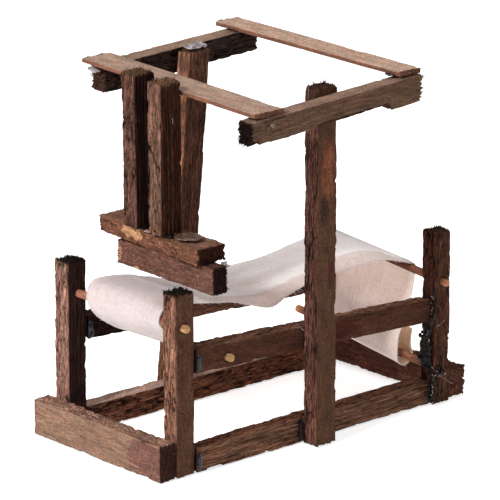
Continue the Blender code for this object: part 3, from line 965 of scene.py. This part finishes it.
def strip_surface():
    """Rows of points of the strip, and each point's place on the flat cloth."""
    edges = [strip_edge(0), strip_edge(1)]
    steps = np.linalg.norm(np.diff((edges[0] + edges[1]) / 2, axis=0), axis=1)
    place = np.concatenate(([0.0], np.cumsum(steps)))
    even = np.linspace(0, place[-1], round(place[-1] / CLOTH_PITCH))
    near, far = [np.stack([np.interp(even, place, edge[:, k]) for k in (0, 1)], axis=1)
                 for edge in edges]
    part = even / place[-1]
    y_near = CLOTH_NEAR_Y[0] + (CLOTH_NEAR_Y[1] - CLOTH_NEAR_Y[0]) * part
    y_far = CLOTH_FAR_Y[0] + (CLOTH_FAR_Y[1] - CLOTH_FAR_Y[0]) * step_up(part, 0.25, 0.5)
    y_near = y_near + sway(even / 3.0, 0.5, 0.5, 301, 0.5)
    y_far = y_far + sway(even / 3.0, 0.5, 0.5, 302, 0.5)
    width = float((y_far - y_near).mean())
    share = np.linspace(0, 1, round(width / CLOTH_PITCH) + 1)[None, :]
    x = blend(near[:, :1], far[:, :1], share)
    z = blend(near[:, 1:], far[:, 1:], share)
    y = blend(y_near[:, None], y_far[:, None], share)
    curl = np.interp(x[:, :1], CURL_X, CURL_RISE) * is_top(x)
    across = share * width
    z = z + curl * 1.25 * (1.0 - np.exp(-(across / 1.5) ** 1.6)) * np.exp(-across / 14.0)
    surface = np.stack((x, y, z), axis=-1) - LAYOUT
    flat = np.stack((across + 0 * x, even[:, None] + 0 * x, 0 * x), axis=-1)
    return surface, flat, width, place[-1]


def rod_distance(surface):
    """How far each point is from the nearest rod's skin."""
    return np.min([axis_distance(surface, *line) - ROD_RADIUS for line in RODS.values()], axis=0)


def surface_normal(surface):
    normal = np.cross(np.gradient(surface, axis=0), np.gradient(surface, axis=1))
    return normal / np.linalg.norm(normal, axis=-1, keepdims=True)


def ruffle(surface, flat):
    """Soft folds and unevenness, none of it near the rods."""
    w = flat[..., 0]
    s = flat[..., 1]
    free = step_up(rod_distance(surface), 0.6, 5.0)
    lift = sway(w / 9.0, s / 11.0, 0.5, 311, 0.9)
    lift += sway(w / 5.0 + s / 14.0, s / 6.0 - w / 9.0, 0.5, 312, 0.8)
    lift += sway(w / 1.6, s / 2.4, 0.5, 313, 0.16)
    return surface + surface_normal(surface) * (lift * free)[..., None]


def strip_tint(flat, length):
    """The cloth's colour: darker on the roll and at the tail, painted shade on the band under the fold's
    near side and along its crease, and a warmer tint on the drop as painted light shining through it.
    """
    across = flat[..., :1]
    part = flat[..., 1:2] / length
    drop = step_up(part, 0.72, 0.76)
    roll = 1.0 - step_up(part, 0.22, 0.32)
    tint = blend(CLOTH_TINT, DROP_GLOW_TINT, drop)
    tint = blend(tint, ROLL_TINT, roll)
    tint = blend(tint, TAIL_TINT, step_up(part, 0.9, 0.95))
    # Painted shade on the band between the crease and the near edge, where the fold turns down away from
    # the light.
    fold_shade = (1.0 - step_up(across, 3.0, 4.2)) * (1 - drop) * (1 - roll)
    tint = tint * (1.0 - fold_shade * np.array((0.27, 0.30, 0.31)))
    # Painted shade along the fold's crease.
    wander = 0.5 * noise(flat[..., 1:2] / 5.0, 0.5, 0.5, 321)
    crease = np.exp(-((across - 3.7 - wander) / 0.35) ** 2)
    return tint * (1.0 - 0.2 * crease * (1 - roll) * (1 - drop))


def strip():
    """The gauze strip as one closed thin sheet."""
    surface, flat, width, length = strip_surface()
    surface = ruffle(surface, flat)
    rows, columns = surface.shape[:2]
    half = surface_normal(surface) * (CLOTH_THICK / 2)
    count = rows * columns
    faces = []
    for row in range(rows - 1):
        for column in range(columns - 1):
            a = row * columns + column
            faces.append((a, a + 1, a + columns + 1, a + columns))
            faces.append((a + count, a + columns + count, a + columns + 1 + count, a + 1 + count))
    rim = ([column for column in range(columns)]
           + [row * columns + columns - 1 for row in range(1, rows)]
           + [(rows - 1) * columns + column for column in range(columns - 2, -1, -1)]
           + [row * columns for row in range(rows - 2, 0, -1)])
    faces += [(here, there, there + count, here + count) for here, there in zip(rim, rim[1:] + rim[:1])]
    points = np.concatenate([side.reshape(-1, 3) for side in (surface + half, surface - half)])
    tint = np.tile(strip_tint(flat, length).reshape(-1, 3), (2, 1))
    parts = Parts()
    parts.add(points, faces, tint, np.tile(flat.reshape(-1, 3), (2, 1)))
    obj = parts.to_object("gauze_strip", gauze)
    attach(obj, "root")
    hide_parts("cloth_strip")
    return obj, surface, width, length


def fray(surface):
    """Loose thread ends along the raw edges of the strip."""
    rng = random.Random(41)
    parts = Parts()
    free = rod_distance(surface)
    tint = srgb(228, 215, 210)
    looks = {"width": 0.06, "tint": tint, "rng": rng, "bend": 0.4, "dark": 0.0}
    for edge, inner in ((0, 1), (-1, -2)):
        for row in range(1, surface.shape[0] - 1):
            if free[row, edge] < 0.8:
                continue
            for _ in range(3):
                if rng.random() > 0.5:
                    continue
                out = unit(surface[row, edge] - surface[row, inner])
                run = unit(surface[row + 1, edge] - surface[row - 1, edge])
                way = out + run * rng.uniform(-0.7, 0.7) + np.array((0, 0, rng.uniform(-0.3, 0.3)))
                spot = surface[row, edge] - out * 0.15 + run * rng.uniform(-0.3, 0.3)
                hair(parts, spot, way, rng.choice((0.5, 0.8, 1.5)) * rng.uniform(0.6, 1.1), **looks)
    for column in range(1, surface.shape[1] - 1):
        out = unit(surface[-1, column] - surface[-2, column])
        way = out + np.array((rng.uniform(-0.4, 0.4), 0, 0))
        hair(parts, surface[-1, column] - out * 0.15, way, rng.uniform(0.4, 1.6), **looks)
    obj = parts.to_object("gauze_fray", gauze)
    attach(obj, "root")
    return obj


# --- glue ---------------------------------------------------------------------------------------
WHITE = (1, 1, 1)     # the glue materials don't read the tint
BEAD_PITCH = 0.13
SMEAR_PITCH = 0.16
STRING_WIDTH = 0.05
STRING_JOINTS = 9
STRING_SIDES = 4


def blob(parts, middle, radii, seed, rough, detail=2):
    """One set drop of glue, lumpy and closed."""
    bm = bmesh.new()
    bmesh.ops.create_icosphere(bm, subdivisions=detail, radius=1.0)
    ball = np.array([vert.co for vert in bm.verts])
    faces = [tuple(vert.index for vert in side.verts) for side in bm.faces]
    bm.free()
    lump = noise(*(ball * 1.6).T, seed)
    fine = noise(*(ball * 4.0).T, seed + 1)
    scale = 1.0 - rough * lump - rough * 0.4 * fine
    points = ball * scale[:, None] * radii + middle
    parts.add(points, faces, WHITE, points)


def fuse(obj, pitch):
    """Melt the drops of one mesh into a single smooth skin."""
    melt = obj.modifiers.new("melt", "REMESH")
    melt.mode = "VOXEL"
    melt.voxel_size = pitch * MM
    even = obj.modifiers.new("even", "SMOOTH")
    even.factor = 0.5
    even.iterations = 3
    obj.data = with_modifiers(obj)


def string(parts, start, stop, sag, rng):
    """A thin thread of glue pulled from one place to another."""
    across, other = square_to(unit(stop - start), (0.2, 0.5, 0.8))
    points = []
    for joint in range(STRING_JOINTS):
        part = joint / (STRING_JOINTS - 1)
        middle = start + (stop - start) * part - np.array((0, 0, sag)) * 4 * part * (1 - part)
        radius = STRING_WIDTH * (0.7 + 0.6 * abs(2 * part - 1) + 0.2 * rng.random())
        points += circle(middle, radius, across, other, STRING_SIDES)
    last = (STRING_JOINTS - 1) * STRING_SIDES
    faces = [tuple(range(STRING_SIDES)), tuple(range(last, last + STRING_SIDES))]
    points = np.array(points)
    parts.add(points, faces + skin(STRING_JOINTS, STRING_SIDES), WHITE, points)


# --- stage --------------------------------------------------------------------------------------
CAMERA_AZIMUTH = -41.754
CAMERA_ELEVATION = 16.35
CAMERA_ROLL = 0.103
CAMERA_DISTANCE = 1027.3
CAMERA_SLIDE = (6.563, 0.818)      # to the right and up
CAMERA_LENS = 259.48
LOOK_AT = at(50.0, 29.0, 50.0)
FLOOR_DROP = 0.0004                # metres, as are the next and the lights' places and sizes
FLOOR_REACH = 6.0
FLOOR_GLOW = 0.68
SURROUND_GLOW = 0.3
WHITE_LIGHT = (1.0, 1.0, 1.0, 1.0)
# where, aimed at, size, power
LIGHTS = {"key": ((-0.72, -0.1, 0.58), (0.0, 0.0, 0.05), 0.18, 7.5),
          "front": ((-0.1, -0.9, 0.5), (0.0, 0.0, 0.04), 0.5, 1.6),
          "top": ((0.25, 0.3, 0.85), (0.0, 0.0, 0.05), 0.5, 2.2)}


def camera():
    azimuth, elevation, roll = [math.radians(turn) for turn in
                                (CAMERA_AZIMUTH, CAMERA_ELEVATION, CAMERA_ROLL)]
    back = Vector((math.sin(azimuth) * math.cos(elevation), -math.cos(azimuth) * math.cos(elevation),
                   math.sin(elevation)))
    right = Vector((math.cos(azimuth), math.sin(azimuth), 0.0))
    up = back.cross(right)
    spot = Vector(LOOK_AT) + right * CAMERA_SLIDE[0] + up * CAMERA_SLIDE[1] + back * CAMERA_DISTANCE
    turned_right = right * math.cos(roll) + up * math.sin(roll)
    turned_up = up * math.cos(roll) - right * math.sin(roll)
    data = bpy.data.cameras.new("camera")
    data.sensor_width = 36.0
    data.lens = CAMERA_LENS
    data.clip_start = 0.01
    data.clip_end = 50.0
    obj = add_object("camera", data)
    columns = (turned_right, turned_up, back)
    obj.matrix_world = Matrix([[column[row] for column in columns] + [spot[row] * MM] for row in range(3)]
                              + [[0.0, 0.0, 0.0, 1.0]])
    bpy.context.scene.camera = obj


def stage():
    world = bpy.data.worlds.new("studio")
    world.use_nodes = True
    surround = world.node_tree.nodes["Background"]
    surround.inputs["Color"].default_value = WHITE_LIGHT
    surround.inputs["Strength"].default_value = SURROUND_GLOW
    bpy.context.scene.world = world
    bm = bmesh.new()
    bmesh.ops.create_grid(bm, x_segments=2, y_segments=2, size=FLOOR_REACH)
    mesh = bpy.data.meshes.new("studio_floor")
    bm.to_mesh(mesh)
    bm.free()
    floor = add_object("studio_floor", mesh)
    floor.location = (0.0, 0.0, -FLOOR_DROP)
    n = Nodes("studio_floor")
    n.shade({"Base Color": (0.93, 0.93, 0.93, 1.0), "Roughness": 0.9, "Specular IOR Level": 0.0})
    mesh.materials.append(n.material)
    n.shade({"Emission Color": WHITE_LIGHT, "Emission Strength": FLOOR_GLOW})
    for name, (where, aim, size, power) in LIGHTS.items():
        data = bpy.data.lights.new(name, "AREA")
        data.shape = "DISK"
        data.size = size
        data.energy = power
        obj = add_object(name, data)
        obj.location = where
        obj.rotation_mode = "QUATERNION"
        obj.rotation_quaternion = (Vector(aim) - Vector(where)).to_track_quat("-Z", "Y")
    bpy.context.scene.view_settings.view_transform = "Standard"


# --- the loom -----------------------------------------------------------------------------------
WOODS = {"rough_wood": wood_material("rough_stained_wood", contrast=1.0),
         "beam_wood": wood_material("beam_wood", contrast=0.8),
         "slat_wood": wood_material("slat_wood", contrast=0.55, bump=0.6)}
rod_wood = wood_material("rod_wood", contrast=0.6, bump=0.5)
gauze = gauze_material()
glue_dark = glue_material("glue_dark", (9, 10, 15), 0.0, 0.08, (24, 28, 40), shine=0.3)
glue_black = glue_material("glue_black", (12, 9, 8), 0.0, 0.1, (30, 25, 25), shine=0.12)
glue_milky = glue_material("glue_milky", (118, 108, 108), 0.1, 0.2, (186, 176, 174))
glue_clear = glue_material("glue_clear", (112, 82, 68), 0.55, 0.16, (140, 116, 102), shine=0.35)

# faces are given as low and high on the first cross axis, then on the second
stick("end_sill_weaver", "y",
      (sawn(144, 112, 93, rough=0.08), bark(103, 76, 62), torn_across(97, 69, 56),
       torn_across(182, 139, 118)),
      torn=(0.25, 0.3),
      patches=(((0.0, 4.0, 5.5), (3, 13, 7), (120, 82, 72), 0.0),))
stick("end_sill_warp", "y",
      (face(102, 62, 50, rough=0.25, grit=0.35, pits=0.15, sawn=0.7), bark(91, 56, 43),
       torn_across(82, 49, 37), torn_across(109, 67, 51)),
      torn=(0.35, 0.3), ends=((104, 66, 52), DARK_END))
stick("corner_post_weaver_far", "z",
      (bark(172, 127, 110, rough=0.55), bark(103, 69, 57), ribbed(49, 28, 21, depth=0.25),
       bark(103, 69, 57)),
      torn=(0.2, 0.9), ends=(DARK_END, BLACK_END), bores=("breast_rod",))
stick("corner_post_weaver_near", "z",
      (bark(160, 113, 92, rough=0.6, pits=0.65), bark(101, 67, 54), sawn(84, 55, 41), bark(92, 62, 49)),
      torn=(0.2, 0.8), ends=(DARK_END, BLACK_END), bores=("breast_rod",),
      cracks=(((5.2, 1.6, 33.0), (5.2, 2.4, 12.0), 0.5, 0.7),))
stick("corner_post_warp_near", "z",
      (bark(92, 53, 42, rough=0.6), bark(87, 52, 40), bark(84, 53, 39, rough=0.35, pits=0.35),
       bark(87, 52, 40)),
      torn=(0.3, 0.8), ends=(DARK_END, (88, 62, 50)), bores=("back_rod", "warp_rod"))
stick("corner_post_warp_far", "z",
      (bark(112, 80, 66), bark(110, 80, 64), bark(90, 66, 54), bark(110, 80, 64)),
      torn=(0.3, 0.8), ends=(DARK_END, BLACK_END), bores=("back_rod", "warp_rod"))
stick("base_rail_near", "x",
      (ribbed(122, 86, 67, depth=0.35, pitch=1.5), bark(94, 59, 46), bark(84, 52, 41),
       bark(148, 99, 77, rough=0.4)),
      torn=(0.2, 0.2))
stick("base_rail_far", "x",
      (bark(117, 72, 52, rough=0.45), bark(109, 76, 61), bark(98, 68, 54),
       sawn(204, 168, 151, rough=0.3)),
      torn=(0.2, 0.2))
stick("mid_rail_near", "x",
      (sawn(79, 48, 35, rough=0.2), bark(69, 41, 32), bark(69, 43, 33), bark(146, 101, 81, rough=0.55)),
      torn=(0.3, 0.3), bores=("cloth_rod",),
      patches=(((66.0, 0.0, 30.5), (11, 4, 4.5), (74, 34, 26), 0.0),))
# The dark colours of its sides are painted shadow of the cloth roll; the patch paints its low y side and
# top lighter past the near post, where they are lit.
stick("mid_rail_far", "x",
      (bark(43, 23, 18, rough=0.4), bark(47, 28, 22), bark(47, 28, 22), bark(87, 59, 48, rough=0.5)),
      torn=(0.3, 0.3), bores=("cloth_rod",),
      patches=(((73.0, 48.0, 30.0), (44, 9, 14), (112, 76, 60), 0.0),))
stick("tall_post_near", "z",
      (face(120, 79, 67, rough=0.6, pits=0.5, ribs=0.25, rib_pitch=1.0), bark(81, 52, 41),
       sawn(86, 58, 43, rough=0.2), bark(73, 46, 37)),
      torn=(0.5, 0.9), ends=(DARK_END, (84, 58, 46)),
      patches=(((56.0, -6.8, 79.0), (3.2, 3, 11.5), (122, 72, 52), 0.0),
               ((57.4, -6.8, 51.0), (1.8, 3, 7), (66, 36, 28), 0.0),
               ((54.8, -6.8, 69.0), (2.0, 3, 6), (66, 44, 36), 0.0)))
stick("tall_post_far", "z",
      (bark(164, 112, 83, rough=0.35, pits=0.25), bark(115, 82, 65),
       ribbed(94, 61, 48, depth=0.25, pitch=1.4), bark(104, 74, 59)),
      torn=(0.3, 0.5), ends=(DARK_END, (120, 84, 64)),
      patches=(((54.7, 53.4, 102.0), (2.0, 4.0, 7.0), (120, 84, 65), 0.0),))
stick("top_beam_near", "x",
      (face(105, 79, 62, rough=0.15, ribs=0.1, rib_pitch=1.6, pits=0.08, sawn=0.75), bark(82, 57, 47),
       bark(82, 57, 47), sawn(158, 126, 108, rough=0.2)),
      torn=(1.5, 2.7), ends=(BLACK_END, (118, 90, 68)), slot="beam_wood", flare=(73.9, 1.3),
      splits=(((-1, -1), (45.8, 73.8), 1.3),
              ((-1, 1), (26.2, 35.0), 0.9),
              ((-1, -1), (20.0, 25.0), 1.6)))
stick("top_beam_far", "x",
      (bark(57, 40, 33, rough=0.4), bark(88, 64, 54), bark(70, 48, 42, rough=0.6),
       sawn(161, 131, 111, rough=0.15)),
      torn=(1.3, 0.8), ends=((92, 62, 50), (70, 48, 38)), slot="beam_wood")
for slat, top_colour in (("top_slat_weaver", (168, 139, 122)), ("top_slat_warp", (186, 154, 134))):
    stick(slat, "y",
          (sawn(120, 80, 64), sawn(120, 80, 64), sawn(90, 64, 52), sawn(*top_colour)),
          torn=(0.35, 0.4), ends=((120, 84, 66), (120, 84, 66)), slot="slat_wood", hairs=6, worn=0.2,
          chips=0.02,
          notches=(((77.1, -5.5, 105.8), 0.8, (0.7, 0.0)), ((85.4, -11.0, 105.8), 0.9, (-0.9, 0.0))))
stick("batten_upright_near", "z",
      (bark(128, 93, 76, rough=0.5, pits=0.5), bark(73, 45, 36), ribbed(61, 33, 20, depth=0.5),
       bark(66, 38, 30)),
      torn=(0.2, 0.8), ends=(DARK_END, (132, 98, 76)),
      cracks=(((15.7, 23.0, 88.5), (15.7, 18.6, 82.5), 0.45, 0.5),))
stick("batten_upright_far", "z",
      (bark(121, 83, 70, rough=0.75, pits=0.85), bark(77, 47, 39), ribbed(45, 23, 17, depth=0.5),
       bark(69, 40, 33)),
      torn=(0.2, 0.8), ends=(DARK_END, (120, 88, 68)))
stick("batten_bar", "y",
      (face(133, 89, 69, rough=0.25, grit=0.75, pits=0.2, sawn=0.6), bark(82, 54, 42), bark(73, 47, 37),
       face(142, 102, 84, rough=0.2, grit=0.35, pits=0.1, sawn=0.8)),
      torn=(0.5, 0.5), ends=((66, 34, 25), (70, 44, 34)), worn=0.18,
      patches=(((16.3, 33.4, 61.8), (4, 6.4, 4.3), (196, 146, 108), 0.35),
               ((16.5, 26.0, 63.5), (3, 4.5, 1.5), (198, 164, 148), 0.15)))
stick("batten_lower_bar", "y",
      (face(123, 85, 72, rough=0.25, grit=0.45, pits=0.15, sawn=0.7), bark(94, 67, 55),
       bark(84, 59, 49), bark(112, 78, 65, rough=0.3)),
      torn=(0.3, 0.5), ends=((36, 14, 8), DARK_END), worn=0.18, lift=0.55,
      patches=(((17.8, 38.5, 54.0), (3, 1.1, 3.2), (186, 138, 106), 0.2),
               ((17.8, 31.0, 51.2), (3, 1.6, 0.9), (190, 146, 112), 0.1)))

CUT_END = (150, 104, 78)
rod("breast_rod", (150, 100, 80), ((176, 134, 94), CUT_END))
rod("cloth_rod", (120, 80, 62), ((168, 130, 88), CUT_END))
rod("back_rod", (120, 74, 58), ((168, 116, 84), CUT_END))
rod("warp_rod", (150, 100, 74), ((52, 36, 30), (176, 122, 84)))

cloth, cloth_surface, cloth_width, cloth_length = strip()
cloth_fray = fray(cloth_surface)

# how each bead looks: material, how lumpy it is, how many smaller drops sit on it, its size
USUAL_GLUE = (glue_dark, 0.15, 1, 0.9)
GLUE_LOOKS = {"glue_tall_far_top": (glue_milky, 0.3, 9, 1.0),
              "glue_slat_weaver_far": (glue_milky, 0.4, 6, 0.9),
              "glue_batten_heads": (glue_milky, 0.4, 3, 0.8),
              "glue_batten_bars": (glue_milky, 0.45, 6, 0.8),
              "glue_slat_weaver_near": (glue_clear, 0.4, 2, 0.65),
              "glue_slat_warp_near": (glue_dark, 0.4, 3, 0.9),
              "glue_warp_near_side": (glue_black, 0.5, 30, 1.0),
              "glue_warp_near_foot": (glue_black, 0.45, 20, 1.0),
              "glue_tall_near_base": (glue_black, 0.35, 6, 0.9),
              "glue_batten_foot": (glue_dark, 0.3, 2, 0.9),
              "glue_batten_puddle": (glue_clear, 0.2, 0, 1.15)}
for index, node in enumerate(sorted(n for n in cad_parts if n.startswith("glue_"))):
    low, high = [np.array(corner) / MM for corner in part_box(node)]
    material, lumps, drops, share = GLUE_LOOKS.get(node, USUAL_GLUE)
    rng = random.Random(node)
    bead = Parts()
    middle = (low + high) / 2
    radii = (high - low) / 2
    blob(bead, middle, radii * share * (1.0 + 0.5 * lumps), 400 + 7 * index, lumps, detail=4)
    for drop in range(drops):
        away = scatter(rng, -1, 1)
        size = rng.uniform(0.22, 0.45) * np.median(radii)
        spot = middle + away * radii * 0.85
        spot[2] = max(spot[2], size)
        blob(bead, spot, size * scatter(rng, 0.7, 1.4), 600 + 11 * index + drop, 0.4)
    made = bead.to_object(f"{node}_bead", material)
    fuse(made, BEAD_PITCH)
    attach(made, "root")
    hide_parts(node)

# smears along joints: start, stop, thickness, how many lumps
SMEARS = (((102.3, -1.9, 36.0), (102.3, -2.3, 26.0), 0.6, 18),
          ((102.0, -1.2, 26.5), (102.0, -0.6, 10.0), 0.8, 26),
          ((102.0, -2.5, 10.0), (101.6, -2.6, 1.4), 0.75, 20),
          ((102.0, -2.6, 9.5), (106.5, -3.0, 10.5), 0.7, 12),
          ((96.5, 0.0, 8.9), (101.5, -1.8, 8.4), 0.4, 10),
          ((51.3, -0.8, 7.2), (51.2, -1.2, 0.9), 0.5, 12),
          ((31.5, 58.0, 102.9), (24.5, 57.6, 102.6), 0.5, 12),
          ((16.9, 16.5, 63.8), (20.6, 16.3, 63.8), 0.8, 7),
          ((24.2, -9.0, 101.3), (33.5, -8.0, 101.6), 0.45, 10))
# pale glue specks along joints, which on the black smears also stand in for glints as painted highlights:
# start, stop, how many
SPECKS = (((101.2, -2.6, 35.0), (101.2, -2.6, 26.0), 7),
          ((100.9, -1.6, 26.0), (101.2, -2.4, 13.0), 4),
          ((101.5, -3.2, 10.0), (106.5, -3.5, 9.0), 8),
          ((101.4, -3.2, 8.0), (101.2, -3.3, 1.0), 8),
          ((27.0, 4.0, 55.0), (22.0, 0.0, 57.0), 5),
          ((15.3, 17.0, 64.2), (15.8, 27.0, 64.2), 9))
# drawn strings: start, stop, how far they sag
STRINGS = (((46.6, -1.0, 39.6), (49.8, -4.0, 34.6), 0.4),
           ((104.0, -3.2, 9.6), (109.6, -3.4, 5.6), 0.2),
           ((103.0, -2.9, 24.5), (105.6, -3.4, 26.0), 0.3),
           ((101.4, -2.6, 12.5), (103.6, -3.2, 10.5), 0.3),
           ((19.5, 17.0, 97.0), (19.7, 16.9, 95.2), 0.0))
rng = random.Random(12)
tar = Parts()
for start, stop, size, count in SMEARS:
    for place in range(count):
        spot = blend(at(*start), at(*stop), (place + rng.random()) / count) + scatter(rng, -0.4, 0.4)
        radii = size * scatter(rng, 0.4, 1.2)
        radii[2] *= rng.uniform(1.0, 2.6) if abs(start[2] - stop[2]) > 3 else 1.0
        spot[2] = max(spot[2], radii[2])
        blob(tar, spot, radii, 900 + 5 * place, 0.5)
smears = tar.to_object("glue_smears", glue_black)
fuse(smears, SMEAR_PITCH)
pale = Parts()
for start, stop, count in SPECKS:
    for place in range(count):
        spot = blend(at(*start), at(*stop), rng.random()) + scatter(rng, -0.35, 0.35)
        blob(pale, spot, scatter(rng, 0.1, 0.28), 1400 + place, 0.4)
for start, stop, sag in STRINGS:
    string(pale, at(*start), at(*stop), sag, rng)
# Milky glue drops and strings; the specks on the black smears are partly painted highlights.
specks = pale.to_object("glue_specks", glue_milky)
for made in (smears, specks):
    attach(made, "root")

camera()
stage()
